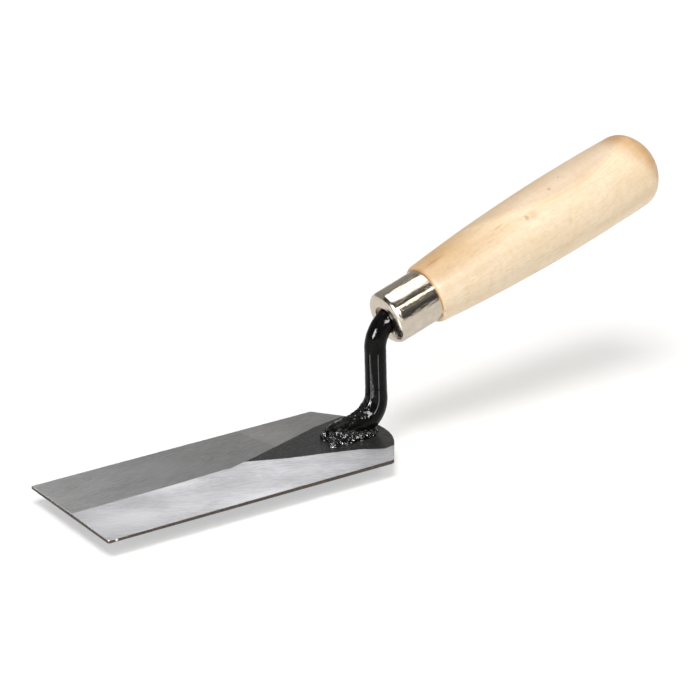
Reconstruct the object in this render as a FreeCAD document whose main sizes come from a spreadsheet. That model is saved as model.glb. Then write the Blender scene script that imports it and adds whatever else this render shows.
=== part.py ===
# Margin trowel: a flat ground steel blade, a bent round shank welded to it, a thin metal ferrule
# and a turned wooden handle driven onto the shank's tang.
# Frame: the origin is the middle of the blade's sole, +X runs from the front edge towards the
# handle, +Z is up from the sole. "Near" is the -Y side and "far" the +Y side.
# Lengths are millimetres and angles are degrees.
import FreeCAD, Part
import math
import os

import Sketcher
from FreeCAD import Placement, Rotation, Vector

DIMENSIONS = [
    ("blade_length", 127.0, "front edge to the end of the heel"),
    ("blade_width", 50.8, "across the long sides"),
    ("blade_thick", 1.55, "unground middle"),
    ("clip_start", 50.1, "X where the long sides turn in to the heel"),
    ("heel_radius", 23.0, "arc that ends the heel"),
    ("apex_x", 4.4, "front tip of the unground triangle"),
    ("apex_y", 0.5, "the tip lies a little off the centreline"),
    ("near_grind_turn", 17.1, "near side of the triangle against X"),
    ("far_grind_turn", 17.4, "far side of the triangle against X"),
    ("near_grind_fall", 0.60, "slope of the near ground facet"),
    ("far_grind_fall", 0.72, "slope of the far ground facet"),
    ("grind_reach", 90.0, "width of the cut that leaves a facet"),
    ("rod_diameter", 7.72, "round bar of the shank"),
    ("toe_x", 40.9, "front end of the foot"),
    ("toe_height", 3.9, "rod centre above the sole at the toe"),
    ("foot_rise", 6.0, "slope of the foot, rising towards the heel"),
    ("lower_bend_radius", 8.9, "rod centreline, foot to neck"),
    ("neck_lean", 2.9, "the neck leans forward as it rises"),
    ("upper_bend_radius", 11.8, "rod centreline, neck to tang"),
    ("toe_round", 2.4, "rounding of the toe"),
    ("face_x", 63.69, "centre of the ferrule's face"),
    ("face_z", 41.88, "centre of the ferrule's face"),
    ("handle_tilt", 18.0, "handle axis above the blade"),
    ("bend_depth", 4.6, "the upper bend ends this far behind the ferrule's face"),
    ("tang_rise", 0.44, "tang axis above the handle axis"),
    ("tang_depth", 62.0, "tang tip behind the ferrule's face"),
    ("tang_taper", 2.6, "chamfer of the tang's tip"),
    ("fit_gap", 0.05, "radial room in the glued fits"),
    ("ferrule_radius", 9.83, "outside"),
    ("ferrule_length", 18.6, "face to the wooden shoulder"),
    ("ferrule_wall", 0.7, "drawn sheet"),
    ("ferrule_round", 2.3, "outer corner of the drawn face"),
    ("ferrule_hole", 4.9, "radius of the hole that the rod passes"),
    ("entry_radius", 4.85, "relief in the wood behind the ferrule's hole"),
    ("entry_drop", 0.2, "relief centre below the handle axis"),
    ("handle_length", 124.2, "ferrule's face to the butt"),
    ("shoulder_radius", 11.1, "wood just behind the ferrule"),
    ("shoulder_round", 0.5, "broken corner of the shoulder"),
    ("belly_radius", 14.65, "thickest part of the grip"),
    ("belly_station", 91.0, "where the grip is thickest, from the ferrule's face"),
    ("corner_radius", 7.4, "side profile where the grip turns into the butt"),
    ("corner_station", 113.6, "centre of that corner, from the ferrule's face"),
    ("weld_height", 5.0, "weld above the blade"),
    ("puddle_pitch", 3.4, "step from one weld puddle to the next"),
    ("puddle_length", 3.1, "half length of a puddle"),
    ("near_weld_reach", 4.2, "half width of a puddle on the near side"),
    ("far_weld_reach", 4.9, "half width of a puddle on the far side"),
    ("weld_offset", 3.0, "puddle centre from the foot's centreline"),
    ("toe_weld_length", 4.0, "half length of the weld round the toe"),
    ("toe_weld_width", 4.6, "half width of the weld round the toe"),
]
PUDDLES = 5
START, END, CENTRE = 1, 2, 3
H_AXIS, ORIGIN = (-1, -1)
SKETCH_NORMAL = Vector(0, 0, 1)
RIM_MATCH = 0.001

doc = FreeCAD.newDocument("margin_trowel")
dims = doc.addObject("Spreadsheet::Sheet", "dims")
for row, (alias, number, note) in enumerate(DIMENSIONS, start=1):
    dims.set(f"A{row}", alias)
    dims.set(f"B{row}", str(number))
    dims.set(f"C{row}", note)
    dims.setAlias(f"B{row}", alias)
doc.recompute()


def size(formula):
    """Value of a formula over the sheet's names, such as 'dims.blade_width / 2'."""
    value = dims.evalExpression(formula)
    return float(getattr(value, "Value", value))


def new_body(label):
    body = doc.addObject("PartDesign::Body", label)
    body.Label = label
    return body


def on_handle_axis(body):
    """Puts a body's origin at the ferrule's face, with its own +X along the handle."""
    body.Placement = Placement(Vector(), Rotation(Vector(0, -1, 0), size("dims.handle_tilt")))
    body.setExpression("Placement.Base.x", "dims.face_x")
    body.setExpression("Placement.Base.z", "dims.face_z")
    body.setExpression("Placement.Rotation.Angle", "dims.handle_tilt")


def new_sketch(body, name, role):
    sketch = body.newObject("Sketcher::SketchObject", name)
    plane = next(item for item in body.Origin.OriginFeatures if item.Role == role)
    sketch.AttachmentSupport = [(plane, "")]
    sketch.MapMode = "FlatFace"
    return sketch


def line(sketch, start, end):
    return sketch.addGeometry(Part.LineSegment(Vector(*start), Vector(*end)))


def arc(sketch, centre, radius, first_angle, last_angle):
    """An arc that runs anticlockwise between two angles."""
    circle = Part.Circle(Vector(*centre), SKETCH_NORMAL, radius)
    return sketch.addGeometry(Part.ArcOfCircle(circle, math.radians(first_angle), math.radians(last_angle)))


def polygon(sketch, points):
    """A closed chain of lines, each horizontal or vertical one held so."""
    sides = []
    for start, end in zip(points, points[1:] + points[:1]):
        side = line(sketch, start, end)
        if start[1] == end[1]:
            hold(sketch, "Horizontal", side)
        elif start[0] == end[0]:
            hold(sketch, "Vertical", side)
        sides.append(side)
    for side, following in zip(sides, sides[1:] + sides[:1]):
        hold(sketch, "Coincident", side, END, following, START)
    return sides


def hold(sketch, kind, *places):
    sketch.addConstraint(Sketcher.Constraint(kind, *places))


def drive(sketch, name, kind, places, formula):
    """A named sketch dimension that follows the sheet."""
    value = size(formula)
    start_value = math.radians(value) if kind == "Angle" else value
    index = sketch.addConstraint(Sketcher.Constraint(kind, *places, start_value))
    sketch.renameConstraint(index, name)
    sketch.setExpression(f"Constraints.{name}", formula)


def drive_point(sketch, name, geometry, position, x_formula, y_formula):
    """Places a point from the sketch's origin. A coordinate of zero is held on the axis instead."""
    for letter, kind, formula in (("x", "DistanceX", x_formula), ("y", "DistanceY", y_formula)):
        if formula == "0":
            axis = -2 if letter == "x" else H_AXIS
            hold(sketch, "PointOnObject", geometry, position, axis)
        else:
            drive(sketch, f"{name}_{letter}", kind, (ORIGIN, START, geometry, position), formula)


def circle_sketch(body, name, radius_formula, x_formula="0", y_formula="0"):
    """A circle in the plane across the body's own X axis."""
    sketch = new_sketch(body, name, "YZ_Plane")
    centre = Vector(size(x_formula), size(y_formula))
    ring = sketch.addGeometry(Part.Circle(centre, SKETCH_NORMAL, size(radius_formula)))
    drive_point(sketch, "centre", ring, CENTRE, x_formula, y_formula)
    drive(sketch, "radius", "Radius", (ring,), radius_formula)
    return sketch


def cut(body, name, sketch, length_formula, symmetric=False, reverse=False):
    """A pocket, checked to have removed material."""
    doc.recompute()
    before = body.Shape.Volume
    pocket = body.newObject("PartDesign::Pocket", name)
    pocket.Profile = sketch
    pocket.Reversed = reverse
    pocket.SideType = "Symmetric" if symmetric else "One side"
    pocket.setExpression("Length", length_formula)
    doc.recompute()
    if body.Shape.Volume >= before:
        raise RuntimeError(f"{name} removes nothing")
    return pocket


def revolve(body, name, sketch):
    feature = body.newObject("PartDesign::Revolution", name)
    feature.Profile = sketch
    feature.ReferenceAxis = (sketch, ["H_Axis"])
    doc.recompute()
    return feature


def rim_names(shape, rims):
    """Names of the circular edges given as (centre, radius)."""
    names = [
        f"Edge{number}"
        for number, edge in enumerate(shape.Edges, start=1)
        for centre, radius in rims
        if edge.isClosed()
        and abs(edge.Length - 2 * math.pi * radius) < RIM_MATCH
        and edge.CenterOfMass.distanceToPoint(centre) < RIM_MATCH
    ]
    if len(names) != len(rims):
        raise RuntimeError(f"found {len(names)} of {len(rims)} rims")
    return names


def dress(body, kind, name, feature, rims, formula):
    """A PartDesign fillet or chamfer on circular edges."""
    dressing = body.newObject(f"PartDesign::{kind}", name)
    dressing.Base = (feature, rim_names(feature.Shape, rims))
    dressing.setExpression("Radius" if kind == "Fillet" else "Size", formula)
    doc.recompute()
    return dressing


def make_blade():
    """Rectangular plate with a clipped, rounded heel and two shallow ground facets."""
    body = new_body("blade")
    outline = new_sketch(body, "blade_outline", "XY_Plane")
    half_width = size("dims.blade_width / 2")
    front = size("-dims.blade_length / 2")
    clip = size("dims.clip_start")
    radius = size("dims.heel_radius")
    heel_centre = size("dims.blade_length / 2 - dims.heel_radius")
    corner_distance = math.hypot(clip - heel_centre, half_width)
    tangent_angle = math.degrees(
        math.atan2(half_width, clip - heel_centre) - math.acos(radius / corner_distance)
    )
    tangent_x = heel_centre + radius * math.cos(math.radians(tangent_angle))
    tangent_y = radius * math.sin(math.radians(tangent_angle))

    near_side = line(outline, (front, -half_width), (clip, -half_width))
    near_clip = line(outline, (clip, -half_width), (tangent_x, -tangent_y))
    heel = arc(outline, (heel_centre, 0), radius, -tangent_angle, tangent_angle)
    far_clip = line(outline, (tangent_x, tangent_y), (clip, half_width))
    far_side = line(outline, (clip, half_width), (front, half_width))
    front_edge = line(outline, (front, half_width), (front, -half_width))
    hold(outline, "Coincident", near_side, END, near_clip, START)
    hold(outline, "Tangent", near_clip, END, heel, START)
    hold(outline, "Tangent", heel, END, far_clip, START)
    hold(outline, "Coincident", far_clip, END, far_side, START)
    hold(outline, "Coincident", far_side, END, front_edge, START)
    hold(outline, "Coincident", front_edge, END, near_side, START)
    hold(outline, "Horizontal", near_side)
    hold(outline, "Symmetric", near_side, START, far_side, END, H_AXIS)
    hold(outline, "Symmetric", near_side, END, far_side, START, H_AXIS)
    drive_point(outline, "front", near_side, START, "-dims.blade_length / 2", "-dims.blade_width / 2")
    drive(outline, "clip", "DistanceX", (ORIGIN, START, near_side, END), "dims.clip_start")
    drive_point(outline, "heel", heel, CENTRE, "dims.blade_length / 2 - dims.heel_radius", "0")
    drive(outline, "heel_radius", "Radius", (heel,), "dims.heel_radius")

    plate = body.newObject("PartDesign::Pad", "blade_plate")
    plate.Profile = outline
    plate.setExpression("Length", "dims.blade_thick")
    grind_facet(body, "near", "-90 - dims.near_grind_turn", "dims.near_grind_fall")
    grind_facet(body, "far", "90 + dims.far_grind_turn", "dims.far_grind_fall")
    return body


def grind_facet(body, side, turn_formula, fall_formula):
    """Takes a thin wedge off the plate outside one side of the unground triangle."""
    sketch = new_sketch(body, f"{side}_grind_wedge", "XZ_Plane")
    apex = Vector(size("dims.apex_x"), 0, -size("dims.apex_y"))
    sketch.AttachmentOffset = Placement(apex, Rotation(Vector(0, 1, 0), size(turn_formula)))
    sketch.setExpression("AttachmentOffset.Base.x", "dims.apex_x")
    sketch.setExpression("AttachmentOffset.Base.z", "-dims.apex_y")
    top = size("dims.blade_thick")
    reach = size("dims.grind_reach")
    fall = reach * math.tan(math.radians(size(fall_formula)))
    slope, back, lid = polygon(sketch, [(0, top), (reach, top - fall), (reach, top)])
    drive_point(sketch, "foot", slope, START, "0", "dims.blade_thick")
    drive(sketch, "reach", "DistanceX", (lid, END, lid, START), "dims.grind_reach")
    drive(sketch, "fall", "Angle", (slope, START, lid, END), fall_formula)
    cut(body, f"{side}_grind", sketch, "4 * dims.grind_reach", symmetric=True)


def bend(corner, before, after, radius):
    """Centre and tangent points of the arc that rounds a corner between two directions."""
    turn = before.getAngle(after)
    start = corner - before * (radius * math.tan(turn / 2))
    end = corner + after * (radius * math.tan(turn / 2))
    inward = (after - before).normalize()
    centre = corner + inward * (radius / math.cos(turn / 2))
    return start, centre, end


def make_shank():
    """One round bar: foot on the blade, lower bend, neck, upper bend and tang in the handle."""
    body = new_body("shank")
    tilt = math.radians(size("dims.handle_tilt"))
    lean = math.radians(size("dims.neck_lean"))
    rise = math.radians(size("dims.foot_rise"))
    along_tang = Vector(math.cos(tilt), math.sin(tilt))
    along_neck = Vector(-math.sin(lean), math.cos(lean))
    along_foot = Vector(math.cos(rise), math.sin(rise))
    face = Vector(size("dims.face_x"), size("dims.face_z"))
    lift = Vector(-along_tang.y, along_tang.x) * size("dims.tang_rise")
    bend_end = face + along_tang * size("dims.bend_depth") + lift
    tang_tip = face + along_tang * size("dims.tang_depth") + lift
    toe = Vector(size("dims.toe_x"), size("dims.toe_height"))
    upper_radius = size("dims.upper_bend_radius")
    lower_radius = size("dims.lower_bend_radius")

    upper_turn = along_neck.getAngle(along_tang)
    upper_corner = bend_end - along_tang * (upper_radius * math.tan(upper_turn / 2))
    neck_top, upper_centre, _ = bend(upper_corner, along_neck, along_tang, upper_radius)
    reach = upper_corner - toe
    across = along_foot.x * along_neck.y - along_foot.y * along_neck.x
    lower_corner = toe + along_foot * ((reach.x * along_neck.y - reach.y * along_neck.x) / across)
    foot_end, lower_centre, neck_foot = bend(lower_corner, along_foot, along_neck, lower_radius)

    path = new_sketch(body, "shank_path", "XZ_Plane")
    foot = line(path, toe, foot_end)
    lower = arc(path, lower_centre, lower_radius, math.degrees(rise) - 90, math.degrees(lean))
    neck = line(path, neck_foot, neck_top)
    upper = arc(path, upper_centre, upper_radius, 90 + math.degrees(tilt), 180 + math.degrees(lean))
    tang = line(path, bend_end, tang_tip)
    hold(path, "Tangent", foot, END, lower, START)
    hold(path, "Tangent", lower, END, neck, START)
    hold(path, "Tangent", neck, END, upper, END)
    hold(path, "Tangent", upper, START, tang, START)
    drive_point(path, "toe", foot, START, "dims.toe_x", "dims.toe_height")
    drive(path, "foot_rise", "Angle", (foot,), "dims.foot_rise")
    drive(path, "neck_lean", "Angle", (neck,), "90 + dims.neck_lean")
    drive(path, "tilt", "Angle", (tang,), "dims.handle_tilt")
    drive(path, "lower_radius", "Radius", (lower,), "dims.lower_bend_radius")
    drive(path, "upper_radius", "Radius", (upper,), "dims.upper_bend_radius")
    turned = "dims.handle_tilt * 1 deg"
    drive_point(
        path,
        "bend_end",
        tang,
        START,
        f"dims.face_x + dims.bend_depth * cos({turned}) - dims.tang_rise * sin({turned})",
        f"dims.face_z + dims.bend_depth * sin({turned}) + dims.tang_rise * cos({turned})",
    )
    drive(path, "tang_length", "Distance", (tang,), "dims.tang_depth - dims.bend_depth")

    section = circle_sketch(body, "rod_section", "dims.rod_diameter / 2")
    section.AttachmentOffset = Placement(
        Vector(0, toe.y, toe.x), Rotation(Vector(1, 0, 0), -size("dims.foot_rise"))
    )
    section.setExpression("AttachmentOffset.Base.y", "dims.toe_height")
    section.setExpression("AttachmentOffset.Base.z", "dims.toe_x")
    doc.recompute()
    rod = body.newObject("PartDesign::AdditivePipe", "rod")
    rod.Profile = section
    rod.Spine = (path, [f"Edge{number + 1}" for number in range(path.GeometryCount)])
    doc.recompute()

    rod_radius = size("dims.rod_diameter / 2")
    tip_rim = (Vector(tang_tip.x, 0, tang_tip.y), rod_radius)
    toe_rim = (Vector(toe.x, 0, toe.y), rod_radius)
    tip = dress(body, "Chamfer", "tang_tip", rod, [tip_rim], "dims.tang_taper")
    dress(body, "Fillet", "toe_rounding", tip, [toe_rim], "dims.toe_round")
    seat_foot(body)
    return body


def seat_foot(body):
    """Flattens the underside of the foot where it sits on the blade."""
    sketch = new_sketch(body, "foot_seat", "XZ_Plane")
    top = size("dims.blade_thick")
    end = size("dims.blade_length")
    sides = polygon(sketch, [(0, -end), (end, -end), (end, top), (0, top)])
    drive_point(sketch, "low", sides[0], START, "0", "-dims.blade_length")
    drive_point(sketch, "high", sides[2], START, "dims.blade_length", "dims.blade_thick")
    cut(body, "foot_flat", sketch, "dims.blade_width", symmetric=True)


def make_ferrule():
    """Drawn cup with a flat face, a rounded corner and a hole for the rod."""
    body = new_body("ferrule")
    on_handle_axis(body)
    sketch = new_sketch(body, "ferrule_profile", "XY_Plane")
    outer = size("dims.ferrule_radius")
    inner = size("dims.ferrule_radius - dims.ferrule_wall")
    wall = size("dims.ferrule_wall")
    length = size("dims.ferrule_length")
    hole = size("dims.ferrule_hole")
    corners = [(0, hole), (wall, hole), (wall, inner), (length, inner), (length, outer), (0, outer)]
    sides = polygon(sketch, corners)
    drive_point(sketch, "hole", sides[0], START, "0", "dims.ferrule_hole")
    drive_point(
        sketch, "inside", sides[2], START, "dims.ferrule_wall", "dims.ferrule_radius - dims.ferrule_wall"
    )
    drive_point(sketch, "rear", sides[4], START, "dims.ferrule_length", "dims.ferrule_radius")
    cup = revolve(body, "ferrule_cup", sketch)
    corner_rim = (Vector(), outer)
    rounded = dress(body, "Fillet", "ferrule_corner", cup, [corner_rim], "dims.ferrule_round")
    inner_rim = (Vector(wall, 0, 0), inner)
    inner_round = "dims.ferrule_round - dims.ferrule_wall"
    dress(body, "Fillet", "ferrule_inner_corner", rounded, [inner_rim], inner_round)
    return body


def make_handle():
    """Turned wooden grip with a tenon inside the ferrule and a blind bore for the tang."""
    body = new_body("handle")
    on_handle_axis(body)
    sketch = new_sketch(body, "handle_profile", "XY_Plane")
    tenon_start = size("dims.ferrule_wall + dims.fit_gap")
    tenon_radius = size("dims.ferrule_radius - dims.ferrule_wall - dims.fit_gap")
    shoulder_station = size("dims.ferrule_length")
    shoulder_radius = size("dims.shoulder_radius")
    belly_station = size("dims.belly_station")
    belly_radius = size("dims.belly_radius")
    butt = size("dims.handle_length")
    corner_radius = size("dims.corner_radius")
    corner_station = size("dims.corner_station")

    # The side of the grip is one long arc through the shoulder, level at the belly.
    run = belly_station - shoulder_station
    drop = belly_radius - shoulder_radius
    bow_radius = (run**2 + drop**2) / (2 * drop)
    bow_centre = (belly_station, belly_radius - bow_radius)
    shoulder_angle = math.degrees(math.atan2(shoulder_radius - bow_centre[1], -run))
    past_belly = corner_station - belly_station
    corner_height = bow_centre[1] + math.sqrt((bow_radius - corner_radius) ** 2 - past_belly**2)
    corner_angle = math.degrees(math.atan2(corner_height - bow_centre[1], past_belly))
    depth = butt - corner_station
    dome_radius = (depth**2 + corner_height**2 - corner_radius**2) / (2 * (depth - corner_radius))
    dome_centre = butt - dome_radius
    dome_angle = math.degrees(math.atan2(corner_height, corner_station - dome_centre))

    face = line(sketch, (tenon_start, 0), (tenon_start, tenon_radius))
    tenon = line(sketch, (tenon_start, tenon_radius), (shoulder_station, tenon_radius))
    shoulder = line(sketch, (shoulder_station, tenon_radius), (shoulder_station, shoulder_radius))
    grip = arc(sketch, bow_centre, bow_radius, corner_angle, shoulder_angle)
    corner = arc(sketch, (corner_station, corner_height), corner_radius, dome_angle, corner_angle)
    dome = arc(sketch, (dome_centre, 0), dome_radius, 0, dome_angle)
    middle = line(sketch, (butt, 0), (tenon_start, 0))
    for upright in (face, shoulder):
        hold(sketch, "Vertical", upright)
    hold(sketch, "Horizontal", tenon)
    hold(sketch, "Coincident", face, END, tenon, START)
    hold(sketch, "Coincident", tenon, END, shoulder, START)
    hold(sketch, "Coincident", shoulder, END, grip, END)
    hold(sketch, "Tangent", grip, START, corner, END)
    hold(sketch, "Tangent", corner, START, dome, END)
    hold(sketch, "Coincident", dome, START, middle, START)
    hold(sketch, "Coincident", middle, END, face, START)
    hold(sketch, "PointOnObject", dome, CENTRE, H_AXIS)
    drive_point(sketch, "face", face, START, "dims.ferrule_wall + dims.fit_gap", "0")
    drive_point(
        sketch,
        "tenon",
        shoulder,
        START,
        "dims.ferrule_length",
        "dims.ferrule_radius - dims.ferrule_wall - dims.fit_gap",
    )
    drive(sketch, "shoulder", "DistanceY", (ORIGIN, START, shoulder, END), "dims.shoulder_radius")
    drive(sketch, "belly", "DistanceX", (ORIGIN, START, grip, CENTRE), "dims.belly_station")
    bow_run = "(dims.belly_station - dims.ferrule_length)"
    bow_drop = "(dims.belly_radius - dims.shoulder_radius)"
    bow_formula = f"({bow_run} ^ 2 + {bow_drop} ^ 2) / (2 * {bow_drop})"
    drive(sketch, "bow_radius", "Radius", (grip,), bow_formula)
    drive(sketch, "corner_station", "DistanceX", (ORIGIN, START, corner, CENTRE), "dims.corner_station")
    drive(sketch, "corner_radius", "Radius", (corner,), "dims.corner_radius")
    drive_point(sketch, "butt", dome, START, "dims.handle_length", "0")

    wood = revolve(body, "turned_wood", sketch)
    shoulder_rim = (Vector(shoulder_station, 0, 0), shoulder_radius)
    softened = dress(body, "Fillet", "shoulder_rounding", wood, [shoulder_rim], "dims.shoulder_round")
    tenon_rim = (Vector(tenon_start, 0, 0), tenon_radius)
    tenon_round = "dims.ferrule_round - dims.ferrule_wall + dims.fit_gap"
    dress(body, "Fillet", "tenon_rounding", softened, [tenon_rim], tenon_round)
    relief = circle_sketch(body, "entry_circle", "dims.entry_radius", "0", "-dims.entry_drop")
    cut(body, "entry_relief", relief, "dims.bend_depth", reverse=True)
    bore_radius = "dims.rod_diameter / 2 + dims.fit_gap"
    bore = circle_sketch(body, "bore_circle", bore_radius, "0", "dims.tang_rise")
    cut(body, "tang_bore", bore, "dims.tang_depth + 1", reverse=True)
    return body


def puddle(name, x_formula, y_formula, length_formula, width_formula):
    """One domed weld puddle standing on the blade."""
    dome = doc.addObject("Part::Ellipsoid", name)
    dome.Angle1 = 0
    dome.setExpression("Radius1", "dims.weld_height")
    dome.setExpression("Radius2", length_formula)
    dome.setExpression("Radius3", width_formula)
    dome.setExpression("Placement.Base.x", x_formula)
    dome.setExpression("Placement.Base.y", y_formula)
    dome.setExpression("Placement.Base.z", "dims.blade_thick")
    return dome


def weld_run(label, side, reach_formula, tools):
    """A run of overlapping puddles down one side of the foot, cut to the pieces it grips."""
    puddles = [
        puddle(
            f"{label}_puddle_{number}",
            f"dims.toe_x + dims.puddle_length + {number} * dims.puddle_pitch",
            f"{side} * dims.weld_offset",
            "dims.puddle_length",
            reach_formula,
        )
        for number in range(PUDDLES)
    ]
    mass = doc.addObject("Part::MultiFuse", f"{label}_mass")
    mass.Shapes = puddles
    return trim(label, mass, tools)


def trim(label, mass, tools):
    """Cuts each of the neighbouring pieces out of a weld in turn."""
    for number, tool in enumerate(tools, start=1):
        last = number == len(tools)
        trimmed = doc.addObject("Part::Cut", label if last else f"{label}_cut_{number}")
        trimmed.Base = mass
        trimmed.Tool = tool
        mass = trimmed
    mass.Label = label
    doc.recompute()
    return mass


def make_welds(shank):
    """Fillet welds down both sides of the foot and round its toe."""
    near = weld_run("weld_near_side", -1, "dims.near_weld_reach", [shank])
    far = weld_run("weld_far_side", 1, "dims.far_weld_reach", [shank, near])
    toe_mass = puddle("weld_toe_puddle", "dims.toe_x", "0", "dims.toe_weld_length", "dims.toe_weld_width")
    toe = trim("weld_toe", toe_mass, [shank, near, far])
    return [near, far, toe]


blade = make_blade()
shank = make_shank()
ferrule = make_ferrule()
handle = make_handle()
pieces = [blade, shank, ferrule, handle] + make_welds(shank)
doc.recompute()

for item in doc.Objects:
    if {"Invalid", "Error"} & set(item.State):
        raise RuntimeError(f"{item.Label} failed to compute")
for piece in pieces:
    shape = piece.Shape
    if shape.isNull() or not shape.isValid() or len(shape.Solids) != 1:
        raise RuntimeError(f"{piece.Label} is not one valid solid")

os.makedirs("parts", exist_ok=True)
for piece in pieces:
    piece.Shape.exportStep(f"parts/{piece.Label}.step")
    box = piece.Shape.optimalBoundingBox()
    print(
        f"{piece.Label}: {piece.Shape.Volume:.1f} mm3, X {box.XMin:.2f} to {box.XMax:.2f},"
        f" Y {box.YMin:.2f} to {box.YMax:.2f}, Z {box.ZMin:.2f} to {box.ZMax:.2f}"
    )
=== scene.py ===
import math
import random

import bmesh
import bpy
from mathutils import Matrix, Vector, geometry, noise


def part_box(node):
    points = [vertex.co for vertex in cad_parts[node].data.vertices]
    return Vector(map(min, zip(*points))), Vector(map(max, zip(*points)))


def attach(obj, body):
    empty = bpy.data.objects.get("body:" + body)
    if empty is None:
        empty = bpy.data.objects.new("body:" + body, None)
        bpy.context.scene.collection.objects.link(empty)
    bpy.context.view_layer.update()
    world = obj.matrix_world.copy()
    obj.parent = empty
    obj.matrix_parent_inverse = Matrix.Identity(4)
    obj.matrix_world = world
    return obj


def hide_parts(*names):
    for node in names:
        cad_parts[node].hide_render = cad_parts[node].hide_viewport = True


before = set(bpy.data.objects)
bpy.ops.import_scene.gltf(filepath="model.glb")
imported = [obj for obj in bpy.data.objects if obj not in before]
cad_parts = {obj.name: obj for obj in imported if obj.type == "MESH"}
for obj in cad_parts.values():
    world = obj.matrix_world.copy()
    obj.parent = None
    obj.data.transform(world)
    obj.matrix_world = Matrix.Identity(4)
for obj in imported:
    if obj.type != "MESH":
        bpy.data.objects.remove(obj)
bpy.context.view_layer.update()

# ---------------------------------------- sizes, in millimetres
MM = 0.001
FLOOR = -6.0
BLADE_LOW, BLADE_HIGH = (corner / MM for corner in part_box("blade"))
FRONT, HEEL = BLADE_LOW.x, BLADE_HIGH.x
HALF_WIDTH = BLADE_HIGH.y
TOP = BLADE_HIGH.z
# The long sides end at CLIP_START, and a straight clip runs from there onto the round heel.
CLIP_START = 50.1
HEEL_RADIUS = 23.0

# The unground triangle: its tip, and its two long sides out to the heel.
TRIANGLE_TIP = (6.3, 1.3)
NEAR_SIDE = [TRIANGLE_TIP, (20.6, -4.5), (34.5, -8.5), (45.7, -12.2), (52.8, -16.2), (57.9, -15.4)]
FAR_SIDE = [TRIANGLE_TIP, (12.6, 3.1), (18.6, 5.0), (34.6, 10.0), (43.1, 12.7), (55.8, 15.0), (58.5, 14.6)]
# The ridge between the two ground facets, from the front edge to the triangle's tip.
RIDGE = [(-64.5, -1.6), (-25.0, -1.1), (-3.4, -0.3), (-0.6, -0.6), (3.4, 0.6), TRIANGLE_TIP]
# The two ground planes leave the flat from this point, each with its own turn and fall.
GRIND_APEX = Vector((4.4, 0.5))
NEAR_TURN, FAR_TURN = math.radians(17.1), math.radians(17.4)
NEAR_FALL, FAR_FALL = math.radians(0.60), math.radians(0.72)

# The bar's radius, the start of its axis, the slants of its foot and neck, and its bending radii.
ROD_RADIUS = 3.86
TOE = Vector((40.9, 0, 3.9))
FOOT_RISE = math.radians(6.0)
NECK_LEAN = math.radians(2.9)
LOWER_BEND, UPPER_BEND = 8.9, 11.8
# Where the upper bend ends and the tang ends, inside the handle, and the tang's offset from its axis.
BEND_DEPTH, TANG_DEPTH, TANG_RISE = 4.6, 62.0, 0.44
# Bearings of the two die seams round the bar, in degrees.
SEAMS = (199.5, 243.2)

# The middle of the ferrule's face, and the slope of the handle. Stations run back from that face.
FACE = Vector((63.69, 0, 41.88))
TILT = math.radians(18.0)
FERRULE_RADIUS, FERRULE_LENGTH, FERRULE_WALL, FERRULE_HOLE = 9.83, 18.6, 0.7, 4.9
SHOULDER_RADIUS, BELLY_RADIUS, BELLY_STATION = 11.1, 14.65, 91.0
CORNER_RADIUS, CORNER_STATION, HANDLE_LENGTH = 7.4, 113.6, 124.2
HANDLE_FRAME = Matrix.Translation(FACE) @ Matrix.Rotation(-TILT, 4, "Y")


# ---------------------------------------- meshes
def new_piece(name, points, faces, materials, smooth=True):
    """A mesh object from points in millimetres."""
    mesh = bpy.data.meshes.new(name)
    mesh.from_pydata([Vector(point) * MM for point in points], [], faces)
    mesh.validate()
    outward = bmesh.new()
    outward.from_mesh(mesh)
    bmesh.ops.recalc_face_normals(outward, faces=outward.faces)
    outward.to_mesh(mesh)
    outward.free()
    for material in materials:
        mesh.materials.append(material)
    for polygon in mesh.polygons:
        polygon.use_smooth = smooth
    piece = bpy.data.objects.new(name, mesh)
    bpy.context.scene.collection.objects.link(piece)
    return piece


def stands_for(piece, slot, *nodes):
    """Rides a piece on the one body in place of some CAD nodes. Its slot is not used."""
    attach(piece, "root")
    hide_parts(*nodes)
    return piece


def ring_faces(rings, sides, closed_ends=False):
    """Quads between rings of points that follow one another."""
    faces = []
    for ring in range(rings - 1):
        low, high = ring * sides, (ring + 1) * sides
        for side in range(sides):
            following = (side + 1) % sides
            faces.append((low + side, low + following, high + following, high + side))
    if closed_ends:
        faces.append(tuple(reversed(range(sides))))
        faces.append(tuple(range((rings - 1) * sides, rings * sides)))
    return faces


def rough(point, scale, octaves=3, seed=0.0):
    """Smooth random value, about -1 to 1, of a point in millimetres."""
    where = Vector(point) * scale + Vector((seed, -seed * 0.7, seed * 1.3))
    return noise.fractal(where, 0.8, 2.0, octaves, noise_basis="PERLIN_ORIGINAL")


def smoothstep(value):
    value = min(1.0, max(0.0, value))
    return value * value * (3 - 2 * value)


def hump(value, centre, half_width):
    """1 at the centre, falling smoothly to 0 at half_width either side."""
    return smoothstep(1 - abs(value - centre) / half_width)


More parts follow.
